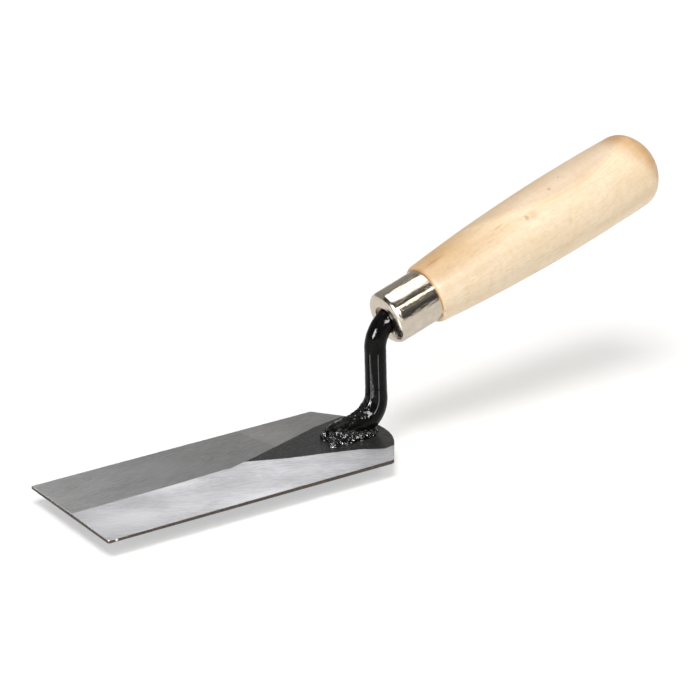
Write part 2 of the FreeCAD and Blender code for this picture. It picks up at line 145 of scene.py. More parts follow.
# ---------------------------------------- materials
class Paint:
    """One node material. Its texture space is in millimetres, in the shared frame or along the handle.

    In the keywords of node, a name like _1 is the number of a socket, and an underscore is a space.
    """

    def __init__(self, name, on_handle=False, **sockets):
        self.material = bpy.data.materials.new(name)
        self.material.use_nodes = True
        self.tree = self.material.node_tree
        self.shader = self.tree.nodes["Principled BSDF"]
        self.finish(**sockets)
        place = self.tree.nodes.new("ShaderNodeTexCoord").outputs["Object"]
        origin, turn = (FACE * MM, (0, -TILT, 0)) if on_handle else ((0, 0, 0), (0, 0, 0))
        self.space = self.map(place, (MM,) * 3, turn, origin, "TEXTURE")

    def put(self, socket, value):
        if isinstance(value, bpy.types.NodeSocket):
            self.tree.links.new(value, socket)
        elif socket.type == "RGBA":
            socket.default_value = (*value, 1)
        else:
            socket.default_value = value

    def node(self, kind, settings=(), **inputs):
        made = self.tree.nodes.new("ShaderNode" + kind)
        for key, value in dict(settings).items():
            setattr(made, key, value)
        for key, value in inputs.items():
            self.put(made.inputs[int(key[1:]) if key[1:].isdigit() else key.replace("_", " ")], value)
        return made

    def map(self, vector, scale=(1, 1, 1), turn=(0, 0, 0), move=(0, 0, 0), kind="POINT"):
        inputs = {"Vector": vector, "Scale": scale, "Rotation": turn, "Location": move}
        return self.node("Mapping", {"vector_type": kind}, **inputs).outputs["Vector"]

    def noise(self, vector, scale, detail=3.0, roughness=0.5):
        made = self.node("TexNoise", Vector=vector, Scale=scale, Detail=detail, Roughness=roughness)
        return made.outputs["Fac"]

    def math(self, operation, first, second=0.0, third=0.0):
        return self.node("Math", {"operation": operation}, _0=first, _1=second, _2=third).outputs[0]

    def times(self, first, second):
        return self.math("MULTIPLY", first, second)

    def vector(self, operation, first, second=(0, 0, 0), result=0):
        """A sum or difference of vectors, or with result 1 their dot product or the length of the first."""
        made = self.node("VectorMath", {"operation": operation}, _0=first, _1=second)
        return made.outputs[result]

    def fit(self, value, low, high, to_low=0.0, to_high=1.0, smooth=False):
        settings = {"interpolation_type": "SMOOTHSTEP" if smooth else "LINEAR", "clamp": True}
        made = self.node("MapRange", settings, Value=value)
        made.inputs[1].default_value, made.inputs[2].default_value = low, high
        made.inputs[3].default_value, made.inputs[4].default_value = to_low, to_high
        return made.outputs[0]

    def mix(self, share, first, second, blend="MIX"):
        made = self.node("Mix", {"data_type": "RGBA", "blend_type": blend})
        for index, value in ((0, share), (6, first), (7, second)):
            self.put(made.inputs[index], value)
        return made.outputs[2]

    def spot(self, centre, radii, edge, space=None):
        """1 inside an ellipsoid about a point, falling to 0 outside it."""
        moved = self.vector("SUBTRACT", self.space if space is None else space, centre)
        scaled = self.map(moved, scale=[1 / radius for radius in radii])
        length = self.vector("LENGTH", scaled, result=1)
        return self.fit(length, 1 - edge, 1 + edge, 1.0, 0.0, smooth=True)

    def bump(self, height, distance, strength=1.0, under=None):
        made = self.node("Bump", Height=height, Distance=distance * MM, Strength=strength)
        if under is not None:
            self.put(made.inputs["Normal"], under)
        return made.outputs["Normal"]

    def finish(self, **sockets):
        """Sets or links inputs of the shader, and gives back the material."""
        for socket, value in sockets.items():
            self.put(self.shader.inputs[socket.replace("_", " ")], value)
        return self.material


def ground_steel(name, grain_turn, bright, dark, seed, pale_patch=0.0, tip_tone=1.0, clip_tone=1.0):
    """Steel off the belt: short wavy streaks along one direction of the facet, with a few gouges.

    Pale_patch is the strength of a paler, warmer patch. Tip_tone scales the colour at the front of the
    blade and clip_tone at the clipped heel.
    """
    paint = Paint(name, Metallic=1.0, Anisotropic=0.75)
    across = paint.map(paint.space, turn=(0, 0, -grain_turn), move=(seed, seed * 2, 0))
    sway = paint.noise(paint.map(across, scale=(0.10, 0.20, 1)), 1.0, 3.0)
    lift = paint.node("CombineXYZ", Y=paint.times(sway, 3.2)).outputs[0]
    bent = paint.vector("ADD", across, lift)
    broad = paint.noise(paint.map(bent, scale=(0.17, 1.15, 1)), 1.0, 2.0, 0.5)
    middling = paint.noise(paint.map(bent, scale=(0.26, 2.5, 1)), 1.0, 2.0, 0.6)
    fine = paint.noise(paint.map(bent, scale=(0.45, 3.8, 1)), 1.0, 3.0, 0.7)
    patches = paint.noise(paint.map(across, scale=(0.035, 0.07, 1)), 1.0, 2.0)
    streaks = paint.math("MULTIPLY_ADD", broad, 0.27, paint.times(middling, 0.35))
    streaks = paint.math("MULTIPLY_ADD", fine, 0.38, streaks)
    colour = paint.mix(paint.fit(streaks, 0.43, 0.57), dark, bright)
    smoky = [channel * 0.90 for channel in bright]
    colour = paint.mix(paint.fit(patches, 0.45, 0.75, 0.0, 0.5), colour, smoky)
    gouge = paint.noise(paint.map(bent, scale=(0.12, 6.0, 1), move=(7, 3, 0)), 1.0, 2.0, 0.6)
    colour = paint.mix(paint.fit(gouge, 0.70, 0.76, 0.0, 0.5), colour, [channel * 0.55 for channel in dark])
    if pale_patch:
        # A paler, warmer patch with one crisp edge at its front, fading out toward the heel.
        turned = paint.map(paint.space, turn=(0, 0, -0.196))
        forward = paint.node("SeparateXYZ", Vector=turned).outputs[0]
        start, fade = paint.fit(forward, 22.6, 23.4), paint.fit(forward, 27.0, 40.0, 1.0, 0.0)
        patch = paint.times(start, fade)
        patch = paint.times(patch, paint.fit(streaks, 0.36, 0.62, 0.6, 1.0))
        colour = paint.mix(paint.times(patch, pale_patch), colour, (0.72, 0.69, 0.65))
    if tip_tone != 1.0:
        station = paint.node("SeparateXYZ", Vector=paint.space).outputs[0]
        tone = paint.fit(station, -62.0, -15.0, tip_tone, 1.0)
        tone = paint.times(tone, paint.fit(station, 44.0, 56.0, 1.0, clip_tone))
        colour = paint.node("VectorMath", {"operation": "SCALE"}, _0=colour, Scale=tone).outputs[0]
    normal = paint.bump(streaks, 0.02, 0.5)
    tangent = paint.node("Tangent", {"direction_type": "UV_MAP", "uv_map": "grain"}).outputs[0]
    worn = paint.fit(patches, 0.3, 0.7, -0.03, 0.05)
    roughness = paint.math("ADD", paint.fit(streaks, 0.35, 0.65, 0.42, 0.33), worn)
    return paint.finish(Base_Color=colour, Roughness=roughness, Normal=normal, Tangent=tangent)


def sheared_steel():
    """The cut edge of the plate: torn and a little rusty, with a bright nick near the front. Its dark
    colour is partly the steel's own and partly painted shade.
    """
    paint = Paint("sheared_edge", Metallic=0.75)
    tear = paint.noise(paint.map(paint.space, scale=(3.0, 3.0, 1.2)), 1.0, 4.0, 0.7)
    stain = paint.noise(paint.space, 0.5, 3.0)
    # The dark tones are partly painted shade, deepened so the thin edge reads as a dark line.
    colour = paint.mix(paint.fit(tear, 0.4, 0.68), (0.025, 0.020, 0.017), (0.10, 0.084, 0.072))
    colour = paint.mix(paint.fit(stain, 0.5, 0.68, 0.0, 0.6), colour, (0.09, 0.055, 0.035))
    nick = paint.spot((-60.3, -25.4, 0.8), (0.5, 0.6, 0.6), 0.4)
    colour = paint.mix(nick, colour, (0.62, 0.60, 0.58))
    roughness = paint.fit(tear, 0.3, 0.7, 0.75, 0.45)
    return paint.finish(Base_Color=colour, Roughness=roughness, Normal=paint.bump(tear, 0.12))


def lacquer(name, grain, depth, glossiest, dullest, level, rust=0.0, crumple=0.0, where=None, bloom=1.0):
    """Black lacquer over forged steel. Grain is its lumps per millimetre and depth their height.

    Glossiest and dullest are the ends of its roughness. Crumple tilts small facets, as on slag and
    scale under the lacquer, all over or in one spot. Bloom greys the black.
    """
    paint = Paint(name, Specular_IOR_Level=level, IOR=1.5)
    lumps = paint.noise(paint.space, grain, 4.0, 0.62)
    pits = paint.noise(paint.space, grain * 3.1, 2.0, 0.5)
    dust = paint.noise(paint.space, 5.0, 2.0, 0.6)
    hollow_black, crest_black = [0.0026 * bloom] * 3, [0.0068 * bloom] * 3
    colour = paint.mix(paint.fit(lumps, 0.35, 0.7), hollow_black, crest_black)
    colour = paint.mix(paint.fit(dust, 0.66, 0.74, 0.0, 0.4), colour, (0.06, 0.058, 0.056))
    if rust:
        flecks = paint.noise(paint.space, 1.1, 3.0, 0.6)
        colour = paint.mix(paint.fit(flecks, 0.64, 0.72, 0.0, rust), colour, (0.22, 0.07, 0.04))
    height = paint.math("ADD", lumps, paint.times(paint.fit(pits, 0.3, 0.62), 0.35))
    normal = paint.bump(height, depth)
    if crumple:
        cells = paint.node("TexVoronoi", Vector=paint.space, Scale=0.95, Randomness=1.0)
        tilt = paint.vector("SUBTRACT", cells.outputs["Color"], (0.5, 0.5, 0.5))
        offset = paint.vector("SUBTRACT", paint.space, cells.outputs["Position"])
        facets = paint.vector("DOT_PRODUCT", tilt, offset, result=1)
        if where:
            facets = paint.times(facets, paint.spot(*where))
        normal = paint.bump(facets, crumple, under=normal)
    roughness = paint.fit(lumps, 0.3, 0.7, dullest, glossiest)
    return paint.finish(Base_Color=colour, Roughness=roughness, Normal=normal)


def nickel():
    """Bright nickel plate over a drawn cup, with faint ripples and handling scratches."""
    paint = Paint("nickel_plate", on_handle=True, Metallic=1.0)
    ripple = paint.noise(paint.map(paint.space, scale=(0.12, 0.5, 0.5)), 1.0, 3.0, 0.55)
    peel = paint.noise(paint.space, 2.2, 3.0, 0.6)
    scratch = paint.noise(paint.map(paint.space, scale=(0.25, 7.0, 7.0)), 1.0, 3.0, 0.7)
    haze = paint.noise(paint.space, 0.35, 2.0)
    colour = paint.mix(paint.fit(haze, 0.35, 0.7), (0.56, 0.50, 0.42), (0.50, 0.44, 0.36))
    colour = paint.mix(paint.fit(scratch, 0.55, 0.68, 0.0, 0.5), colour, (0.30, 0.25, 0.19))
    normal = paint.bump(peel, 0.018, under=paint.bump(ripple, 0.16))
    roughness = paint.fit(peel, 0.3, 0.7, 0.12, 0.22)
    return paint.finish(Base_Color=colour, Roughness=roughness, Normal=normal)


# Marks in the wood: station along the grip, Y and height off its axis, half sizes, darkness and tint.
# Across the grain each one is widened by MARK_SPREAD.
DARK, RUSSET, TAN = (0.16, 0.075, 0.03), (0.36, 0.17, 0.075), (0.52, 0.33, 0.16)
MARK_SPREAD = 1.6
WOOD_MARKS = [
    (61.6, -8.0, 10.7, 0.95, 0.75, 0.75, 0.55, RUSSET),
    (61.5, -8.0, 10.7, 0.45, 0.40, 0.40, 0.60, DARK),
    (64.6, -8.4, 10.6, 1.70, 1.10, 1.10, 0.35, TAN),
    (76.5, -4.1, 13.4, 0.85, 0.55, 0.55, 0.55, RUSSET),
    (83.0, -1.6, 14.0, 0.60, 0.40, 0.40, 0.55, RUSSET),
    (76.0, -13.4, 3.8, 0.80, 0.70, 0.70, 0.25, TAN),
    (51.6, -5.5, 11.7, 3.30, 0.30, 0.45, 0.70, RUSSET),
    (46.6, -6.6, 10.9, 2.20, 0.28, 0.40, 0.30, TAN),
    (24.6, -1.8, 11.1, 4.20, 0.40, 0.50, 0.55, RUSSET),
    (22.0, -3.0, 10.8, 2.40, 0.60, 0.60, 0.50, TAN),
    (38.6, -7.6, 9.5, 3.00, 0.35, 0.45, 0.30, TAN),
    (32.0, -11.2, 2.9, 3.40, 0.40, 0.24, 0.55, TAN),
    (35.5, -11.4, 2.3, 1.50, 0.40, 0.20, 0.45, RUSSET),
    (56.0, -13.1, -1.6, 3.80, 0.40, 0.18, 0.55, TAN),
    (60.5, -13.2, -2.7, 3.60, 0.40, 0.16, 0.55, TAN),
    (66.5, -13.4, -3.4, 2.80, 0.40, 0.18, 0.45, TAN),
    (71.5, -13.5, -4.2, 2.20, 0.40, 0.16, 0.40, TAN),
    (113.5, -4.6, 8.6, 1.60, 1.30, 1.30, 0.45, RUSSET),
    (117.0, -6.0, 5.6, 1.20, 1.60, 1.20, 0.30, RUSSET),
    (52.0, 8.0, -10.0, 2.60, 0.40, 0.40, 0.50, TAN),
    (78.0, 12.6, 5.0, 0.90, 0.60, 0.60, 0.60, RUSSET),
]


def pale_wood():
    """Pale close-grained wood, turned, sanded and clear-varnished. +X of its space is along the grip."""
    gloss = {"Specular_IOR_Level": 0.4, "IOR": 1.45, "Coat_Weight": 0.12, "Coat_Roughness": 0.25}
    paint = Paint("pale_wood", on_handle=True, **gloss)
    station, side, height = paint.node("SeparateXYZ", Vector=paint.space).outputs
    drift = paint.noise(paint.map(paint.space, scale=(0.018, 0.07, 0.07)), 1.0, 2.0)
    side_drift, rise_drift = paint.times(drift, 7.0), paint.times(drift, 5.0)
    sway = paint.node("CombineXYZ", Y=side_drift, Z=rise_drift).outputs[0]
    shifted = paint.vector("ADD", paint.space, sway)
    figure = paint.noise(paint.map(shifted, scale=(0.020, 0.20, 0.15), turn=(0.5, 0, 0)), 1.0, 3.0, 0.55)
    bands = paint.noise(paint.map(shifted, scale=(0.030, 0.75, 0.5), turn=(0.5, 0, 0)), 1.0, 3.0, 0.6)
    fibre = paint.noise(paint.map(shifted, scale=(0.20, 2.2, 2.2)), 1.0, 4.0, 0.7)
    pores = paint.noise(paint.map(shifted, scale=(0.55, 7.0, 7.0)), 1.0, 2.0, 0.6)
    ripple = paint.noise(paint.map(paint.space, scale=(0.50, 0.30, 0.30)), 1.0, 4.0, 0.6)
    mottle = paint.noise(paint.space, 0.10, 3.0)
    colour = paint.mix(paint.fit(figure, 0.34, 0.66), (0.80, 0.67, 0.49), (0.73, 0.58, 0.385))
    colour = paint.mix(paint.fit(bands, 0.50, 0.72, 0.0, 0.50), colour, (0.72, 0.53, 0.34))
    colour = paint.mix(paint.fit(mottle, 0.45, 0.70, 0.0, 0.35), colour, (0.81, 0.705, 0.56))
    colour = paint.mix(paint.fit(ripple, 0.48, 0.64, 0.0, 0.42), colour, (0.72, 0.53, 0.34))

    # A pinker band of heartwood along the upper side, ending in a curved edge with a russet line. Its
    # darkening over the top is partly the heartwood's colour and partly painted shade.
    bow = paint.math("DIVIDE", paint.math("POWER", paint.math("SUBTRACT", station, 84.0), 2.0), 144.0)
    edge = paint.math("ADD", paint.math("SUBTRACT", bow, 9.3), paint.times(mottle, 1.6))
    past = paint.math("SUBTRACT", side, edge)
    above = paint.fit(height, 2.0, 6.0, smooth=True)
    heartwood_and_top_shade = paint.times(paint.fit(past, -0.8, 2.2, smooth=True), above)
    colour = paint.mix(paint.times(heartwood_and_top_shade, 0.85), colour, (0.80, 0.76, 0.77), "MULTIPLY")
    line = paint.times(paint.fit(paint.math("ABSOLUTE", past), 0.0, 0.7, 1.0, 0.0), above)
    line = paint.times(line, paint.fit(figure, 0.35, 0.6, 0.05, 0.38))
    colour = paint.mix(line, colour, (0.66, 0.42, 0.22))

    colour = paint.mix(paint.fit(fibre, 0.46, 0.62, 0.0, 0.40), colour, (0.66, 0.47, 0.29))
    colour = paint.mix(paint.fit(pores, 0.60, 0.68, 0.0, 0.42), colour, (0.46, 0.30, 0.16))
    # Varnish sinks further into the end grain of the butt and of the shoulder. The butt's darkening leans
    # further along the upper side, and that lean is painted shade.
    rise = paint.math("MULTIPLY_ADD", height, 0.55, station)
    butt = paint.fit(paint.math("MULTIPLY_ADD", mottle, 8.0, rise), 117.5, 126.0, smooth=True)
    colour = paint.mix(butt, colour, (0.77, 0.61, 0.44), "MULTIPLY")
    # The upper side from the shoulder toward the middle of the grip is warmer and darker, partly the wood's
    # own colour and partly painted shade on the top.
    warm_and_top_shade = paint.fit(paint.math("MULTIPLY_ADD", figure, 40.0, station), 45.0, 85.0, 1.0, 0.0, smooth=True)
    warm_and_top_shade = paint.times(warm_and_top_shade, paint.fit(height, 3.0, 12.0))
    colour = paint.mix(paint.times(warm_and_top_shade, 0.95), colour, (0.70, 0.56, 0.39), "MULTIPLY")
    frayed = paint.math("ADD", station, paint.times(fibre, 0.2))
    shoulder = paint.fit(frayed, FERRULE_LENGTH + 0.02, FERRULE_LENGTH + 0.20, 1.0, 0.0)
    colour = paint.mix(paint.times(shoulder, 0.45), colour, (0.72, 0.50, 0.30), "MULTIPLY")

    # Each mark has a ragged outline, drawn out along the fibres.
    ragged, jagged = paint.fit(fibre, 0.2, 0.8, -1.2, 1.2), paint.fit(pores, 0.2, 0.8, -0.25, 0.25)
    shake = paint.node("CombineXYZ", X=ragged, Y=jagged).outputs[0]
    shaken = paint.vector("ADD", paint.space, shake)
    for at, off, up, long, wide, tall, dark, tint in WOOD_MARKS:
        radii = (long, wide * MARK_SPREAD, tall * MARK_SPREAD)
        mark = paint.spot((at, off, up), radii, 0.45, shaken)
        colour = paint.mix(paint.times(mark, dark), colour, tint)
    grain = paint.math("ADD", paint.times(fibre, 0.6), paint.times(pores, 0.4))
    roughness = paint.fit(fibre, 0.3, 0.7, 0.38, 0.50)
    return paint.finish(Base_Color=colour, Roughness=roughness, Normal=paint.bump(grain, 0.05, 0.7))


# ---------------------------------------- blade
def along(points, step):
    """Points about a step apart along a chain of points."""
    spread = []
    for start, end in zip(points, points[1:]):
        start, end = Vector(start), Vector(end)
        count = max(1, round((end - start).length / step))
        spread += [start.lerp(end, index / count) for index in range(count)]
    return spread + [Vector(points[-1])]


def arc_points(centre, radius, first, last, step):
    count = max(2, round(abs(last - first) * radius / step))
    angles = [first + (last - first) * index / count for index in range(count + 1)]
    return [Vector((centre[0] + radius * math.cos(a), centre[1] + radius * math.sin(a))) for a in angles]


def blade_outline(step):
    """The plate's edge, anticlockwise from the near front corner, with every corner a little worn."""
    heel_centre = HEEL - HEEL_RADIUS
    corner = Vector((CLIP_START - heel_centre, HALF_WIDTH))
    tangent = math.atan2(corner.y, corner.x) - math.acos(HEEL_RADIUS / corner.length)
    heel = arc_points((heel_centre, 0), HEEL_RADIUS, -tangent, tangent, step)
    wear = 0.7
    return (
        arc_points((FRONT + wear, -HALF_WIDTH + wear), wear, math.pi, 1.5 * math.pi, 0.2)
        + along([(FRONT + wear, -HALF_WIDTH), (CLIP_START - 0.9, -HALF_WIDTH)], step)[1:]
        + along([(CLIP_START + 0.5, -HALF_WIDTH + 0.5), heel[0]], step)
        + heel[1:]
        + along([heel[-1], (CLIP_START + 0.3, HALF_WIDTH - 0.4)], step)[1:]
        + along([(CLIP_START - 0.4, HALF_WIDTH), (FRONT + 0.3, HALF_WIDTH)], step)
        + along([(FRONT, HALF_WIDTH - 0.3), (FRONT, -HALF_WIDTH + wear)], step)[:-1]
    )


def inward(chain):
    """Unit directions into the plate at each point of its anticlockwise edge."""
    count = len(chain)
    directions = []
    for index in range(count):
        run = (chain[(index + 1) % count] - chain[index - 1]).normalized()
        directions.append(Vector((-run.y, run.x)))
    return directions


def side_of(chain, x):
    """Y of a chain that runs along X, at some x."""
    for start, end in zip(chain, chain[1:]):
        if min(start[0], end[0]) <= x <= max(start[0], end[0]) and start[0] != end[0]:
            return start[1] + (end[1] - start[1]) * (x - start[0]) / (end[0] - start[0])
    return chain[-1][1] if x > chain[-1][0] else chain[0][1]


def top_height(x, y):
    """Height of the upper face, with the two ground facets falling away from the triangle."""
    offset = Vector((x, y)) - GRIND_APEX
    near = offset.dot(Vector((-math.sin(NEAR_TURN), -math.cos(NEAR_TURN))))
    far = offset.dot(Vector((-math.sin(FAR_TURN), math.cos(FAR_TURN))))
    fall = max(0.0, near * math.tan(NEAR_FALL), far * math.tan(FAR_FALL))
    waviness = 0.010
    wave = waviness * rough((x, y, 0), 0.05, 2) if fall else 0.0
    return TOP - fall + min(0.0, wave)


# Regions of the blade's surface, numbered as its materials are.
NEAR_FACET, FAR_FACET, UNGROUND, EDGE, SOLE = range(5)


def region_of(x, y):
    """The region of the upper face at a point."""
    if x <= TRIANGLE_TIP[0]:
        return NEAR_FACET if y < side_of(RIDGE, x) else FAR_FACET
    if y < side_of(NEAR_SIDE, x):
        return NEAR_FACET
    return FAR_FACET if y > side_of(FAR_SIDE, x) else UNGROUND


# Rings down the edge of the blade: inset from the outline, and height as a share of the thickness.
EDGE_RINGS = [
    (0.16, 1.0), (0.03, 0.93), (0.05, 0.72), (0.07, 0.48), (0.06, 0.24), (0.02, 0.08), (0.14, 0.0),
]


def torn_edge(dice):
    """Points of the rings down the edge, ring after ring, and how many there are in each."""
    spacing, tear, waviness = 0.7, 0.09, 0.05
    edge = blade_outline(spacing)
    into = inward(edge)
    points = []
    for number, (inset, share) in enumerate(EDGE_RINGS):
        torn = 0 < number < len(EDGE_RINGS) - 1
        for place, direction in zip(edge, into):
            extra = dice.random() * tear if torn else 0.0
            extra += waviness * max(0.0, rough((place.x, place.y, number * 0.2), 0.35, 3, 5.0))
            spot = place + direction * (inset + extra)
            height = top_height(spot.x, spot.y) * share
            points.append((spot.x, spot.y, height))
    return points, len(edge)


def loop_edges(count):
    return [(index, (index + 1) % count) for index in range(count)]


def upper_plan(rim, dice):
    """Plan of the upper face: its points, and edges that keep the ridge and the triangle's sides."""
    flat = list(rim)
    edges = loop_edges(len(rim))
    # The kept lines waver a little, but not over the last of their way to the heel.
    spacing, steady = 0.8, 8
    for chain, wobble in ((RIDGE, 0.05), (NEAR_SIDE, 0.10), (FAR_SIDE, 0.10)):
        drawn = []
        for place in along(chain, spacing):
            shift = wobble * rough((place.x, place.y, 0), 0.45, 3, 2.0)
            moved = place + Vector((0, shift if place.x < HEEL - steady else 0))
            if inside(moved, rim):
                drawn.append(moved)
        start = len(flat)
        flat += drawn
        edges += [(start + index, start + index + 1) for index in range(len(drawn) - 1)]
    spacing, jitter, clearance = 2.2, 0.5, 1.0
    x = FRONT + spacing
    while x < HEEL:
        y = -HALF_WIDTH + spacing
        while y < HALF_WIDTH:
            spot = Vector((x + dice.uniform(-jitter, jitter), y + dice.uniform(-jitter, jitter)))
            if inside(spot, rim) and min((spot - place).length for place in rim) > clearance:
                flat.append(spot)
            y += spacing
        x += spacing
    return flat, edges


def triangulated(flat, edges):
    """Points and triangles that fill a plan, and for each point the given ones that it came from."""
    inside_only, tolerance = 1, 1e-5
    filled = geometry.delaunay_2d_cdt(flat, edges, [], inside_only, tolerance)
    places, _, triangles, origins, _, _ = filled
    return places, triangles, origins


def make_blade(materials, near_grain, far_grain):
    """The plate: two ground facets, the lacquered triangle, a torn edge and a flat sole."""
    dice = random.Random(11)
    points, count = torn_edge(dice)
    faces = [tuple(reversed(face)) for face in ring_faces(len(EDGE_RINGS), count)]
    wall_end = len(faces)

    rim = [Vector(point[:2]) for point in points[:count]]
    places, triangles, origins = triangulated(*upper_plan(rim, dice))
    # Vertices that came from the rim keep their place on the first ring.
    names = []
    for place, origin in zip(places, origins):
        on_rim = [index for index in origin if index < count]
        if on_rim:
            names.append(on_rim[0])
        else:
            names.append(len(points))
            points.append((place.x, place.y, top_height(place.x, place.y)))
    faces += [tuple(names[index] for index in triangle) for triangle in triangles]
    upper_end = len(faces)

    last_ring = (len(EDGE_RINGS) - 1) * count
    rim = [Vector(point[:2]) for point in points[last_ring : last_ring + count]]
    _, triangles, origins = triangulated(rim, loop_edges(count))
    names = [last_ring + origin[0] for origin in origins]
    faces += [tuple(reversed([names[index] for index in triangle])) for triangle in triangles]

    piece = new_piece("blade_plate", points, faces, materials)
    mesh = piece.data
    grain = mesh.uv_layers.new(name="grain")
    grain_turns = {NEAR_FACET: near_grain, FAR_FACET: far_grain}
    map_size = 200
    for polygon in mesh.polygons:
        on_wall = polygon.index < wall_end
        centre = polygon.center / MM
        region = region_of(centre.x, centre.y) if polygon.index < upper_end else SOLE
        # A facet's steel reaches over onto the first row of the wall, and the lacquer doesn't.
        if on_wall and (polygon.index >= count or region == UNGROUND):
            region = EDGE
        polygon.material_index = region
        polygon.use_smooth = on_wall
        turn = grain_turns.get(region, 0.0) + math.pi / 2
        for loop_index in polygon.loop_indices:
            spot = mesh.vertices[mesh.loops[loop_index].vertex_index].co / MM
            grain.data[loop_index].uv = (
                (spot.x * math.cos(turn) + spot.y * math.sin(turn)) / map_size,
                (-spot.x * math.sin(turn) + spot.y * math.cos(turn)) / map_size,
            )
    return stands_for(piece, "ground_steel", "blade")


def inside(point, loop):
    """Whether a point lies within a closed loop of points."""
    crossings = 0
    for start, end in zip(loop, loop[1:] + loop[:1]):
        if (start.y > point.y) != (end.y > point.y):
            if point.x < start.x + (point.y - start.y) * (end.x - start.x) / (end.y - start.y):
                crossings += 1
    return crossings % 2 == 1


# ---------------------------------------- shank
def shank_line(step):
    """Centre, direction and length so far, along the bar from the toe to the tip of the tang."""
    foot = Vector((math.cos(FOOT_RISE), 0, math.sin(FOOT_RISE)))
    neck = Vector((-math.sin(NECK_LEAN), 0, math.cos(NECK_LEAN)))
    tang = Vector((math.cos(TILT), 0, math.sin(TILT)))
    lift = Vector((-tang.z, 0, tang.x)) * TANG_RISE
    bend_end = FACE + tang * BEND_DEPTH + lift
    upper = bend_end - tang * (UPPER_BEND * math.tan(neck.angle(tang) / 2))
    reach = upper - TOE
    share = (reach.x * neck.z - reach.z * neck.x) / (foot.x * neck.z - foot.z * neck.x)
    lower = TOE + foot * share
    tip = FACE + tang * TANG_DEPTH + lift
    places = []
    start = TOE
    for corner, after, radius in ((lower, upper, LOWER_BEND), (upper, tip, UPPER_BEND)):
        before = (corner - start).normalized()
        onward = (after - corner).normalized()
        turn = before.angle(onward)
        back = radius * math.tan(turn / 2)
        first = corner - before * back
        centre = corner + (onward - before).normalized() * (radius / math.cos(turn / 2))
        places += along([start, first], step)[:-1]
        spoke = first - centre
        count = round(radius * turn / step)
        axis = before.cross(onward).normalized()
        for index in range(count):
            places.append(centre + Matrix.Rotation(turn * index / count, 3, axis) @ spoke)
        start = corner + onward * back
    places += along([start, tip], step)
    line = []
    travelled = 0.0
    for index, place in enumerate(places):
        ahead = places[min(index + 1, len(places) - 1)]
        behind = places[max(index - 1, 0)]
        travelled += (place - behind).length
        line.append((place, (ahead - behind).normalized(), travelled))
    return line


def flattened(degrees):
    """Radius factor of the bar, which has a narrow, softened flat between its two die seams."""
    middle, half = sum(SEAMS) / 2, (SEAMS[1] - SEAMS[0]) / 2
    softening, blend = 0.6, 6
    away = abs(degrees - middle)
    if away > half + blend:
        return 1.0
    flat = math.cos(math.radians(half)) / math.cos(math.radians(min(away, half)))
    return 1.0 + (flat - 1.0) * softening * smoothstep((half + blend - away) / blend)


def make_shank(materials):
    """The bent bar: pressed at the toe, swollen and wrinkled at the lower bend, tapered at the tip.

    Its first material is the lacquer, and its second is a grey line along the seams, a painted highlight.
    """
    sides, step = 96, 0.4
    pressing, pressed_length = 0.9, 10
    swelling, side_swelling = 1.05, 0.25
    toe_share, toe_length = 0.42, 2.4
    tip_share, tip_length = 0.35, 5
    lump_limit = 0.35
    smooth_from, seam_start, seam_end = 58, 18, 42
    line = shank_line(step)
    total = line[-1][2]
    across = Vector((0, 1, 0))
    points = []
    for place, direction, travelled in line:
        up = direction.cross(across).normalized() * -1
        pressed = pressing * (1 - smoothstep(travelled / pressed_length))
        in_plane = ROD_RADIUS - pressed + swelling * hump(travelled, 17.5, 10)
        sideways = ROD_RADIUS + side_swelling * hump(travelled, 17.0, 12)
        rounding = min(1.0, travelled / toe_length)
        bulge = math.sqrt(max(0.0, 1 - (1 - rounding) ** 2))
        tip = min(1.0, (total - travelled) / tip_length + tip_share)
        scale = (toe_share + (1 - toe_share) * bulge) * tip
        wrinkled = hump(travelled, 13.0, 13)
        for side in range(sides):
            angle = 2 * math.pi * side / sides
            offset = across * (sideways * math.cos(angle)) + up * (in_plane * math.sin(angle))
            offset *= flattened(360 * side / sides)
            spot = place + offset * scale
            inside_bend = smoothstep((-0.60 - math.sin(angle)) / 0.3)
            bumpy = 0.05 + wrinkled * (0.04 + 0.30 * inside_bend)
            bumpy *= smoothstep((smooth_from - travelled) / 6)
            lump = bumpy * rough(spot, 0.30, 4, 7.0)
            lump += 0.45 * wrinkled * inside_bend * rough(spot, 1.0, 3, 3.0)
            spot = spot + offset.normalized() * min(lump, lump_limit)
            if spot.z < TOP and spot.x < HEEL:
                spot.z = TOP
            points.append(spot)
    faces = ring_faces(len(line), sides, closed_ends=True)
    piece = new_piece("shank_bar", points, faces, materials)
    columns = [round(seam * sides / 360) for seam in SEAMS]
    for polygon in piece.data.polygons:
        ring, side = divmod(polygon.index, sides)
        # Along the seams a grey line is painted as their highlight, broken here and there.
        worn = rough((ring * 0.2, side, 0), 0.8, 2, 12.0) > -0.7
        if side in columns and seam_start < line[ring][2] < seam_end and worn:
            polygon.material_index = 1
    return stands_for(piece, "black_lacquer", "shank")


# ---------------------------------------- weld
def ball(centre, radii):
    """Points and faces of an ellipsoid."""
    rings, sides = 8, 12
    points = [centre + Vector((0, 0, radii[2]))]
    for ring in range(1, rings):
        polar = math.pi * ring / rings
        for side in range(sides):
            turn = 2 * math.pi * side / sides
            spoke = (
                radii[0] * math.sin(polar) * math.cos(turn),
                radii[1] * math.sin(polar) * math.sin(turn),
                radii[2] * math.cos(polar),
            )
            points.append(centre + Vector(spoke))
    points.append(centre - Vector((0, 0, radii[2])))
    faces = [(0, 1 + side, 1 + (side + 1) % sides) for side in range(sides)]
    for ring in range(rings - 2):
        low = 1 + ring * sides
        for side in range(sides):
            following = (side + 1) % sides
            faces.append((low + side, low + sides + side, low + sides + following, low + following))
    last = len(points) - 1
    low = 1 + (rings - 2) * sides
    faces += [(last, low + (side + 1) % sides, low + side) for side in range(sides)]
    return points, faces


